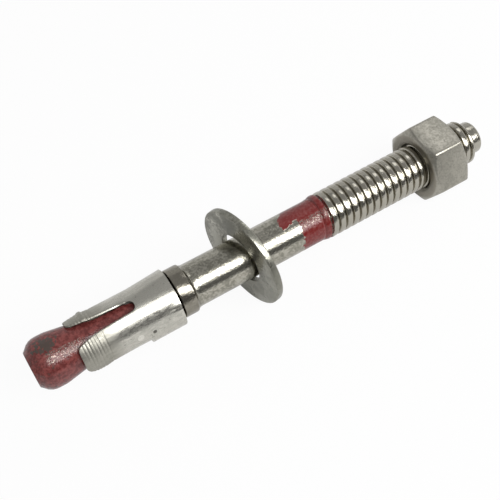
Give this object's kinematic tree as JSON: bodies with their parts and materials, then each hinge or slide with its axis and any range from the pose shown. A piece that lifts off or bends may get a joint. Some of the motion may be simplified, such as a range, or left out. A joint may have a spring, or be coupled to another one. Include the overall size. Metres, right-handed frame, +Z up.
{
  "type": "wedge anchor",
  "caption": "Steel wedge anchor with a slotted expansion clip, a flat washer and a hex nut, painted red at the cone; it clamps a fixture to drilled concrete.",
  "frame": {"origin": "middle of the anchor's length and width, on the surface that it lies on", "axes": "+Z up; +X along the anchor from the cone end to the threaded end, which slopes down by 3.3 degrees because the anchor lies on the washer's rim and on the nut; +Y to the left of +X"},
  "size_m": [0.0974, 0.0204, 0.0207],
  "materials": {
    "stud_steel": "cold formed zinc plated steel, with dull red paint on the cone and neck and a worn red band where the thread begins",
    "clip_steel": "rolled steel sheet, plated and lightly scuffed",
    "washer_steel": "stamped steel, dull plating",
    "nut_steel": "forged steel, dull mottled plating"
  },
  "bodies": {
    "stud": {"stud": "stud_steel"},
    "clip": {"expansion_clip": "clip_steel"},
    "washer": {"washer": "washer_steel"},
    "nut": {"hex_nut": "nut_steel"}
  },
  "joints": [
    {"name": "nut_turn", "type": "hinge", "parent": "stud", "child": "nut", "pos_m": [0.0378, 0, 0.0073], "axis": [0.9983, 0, -0.0577], "continuous": true},
    {"name": "clip_turn", "type": "hinge", "parent": "stud", "child": "clip", "pos_m": [-0.03066, 0, 0.01126], "axis": [0.9983, 0, -0.0577], "continuous": true},
    {"name": "washer_slide", "type": "slide", "parent": "stud", "child": "washer", "axis": [0.9983, 0, -0.0577], "range_m": [-0.0095, 0.0378]}
  ]
}
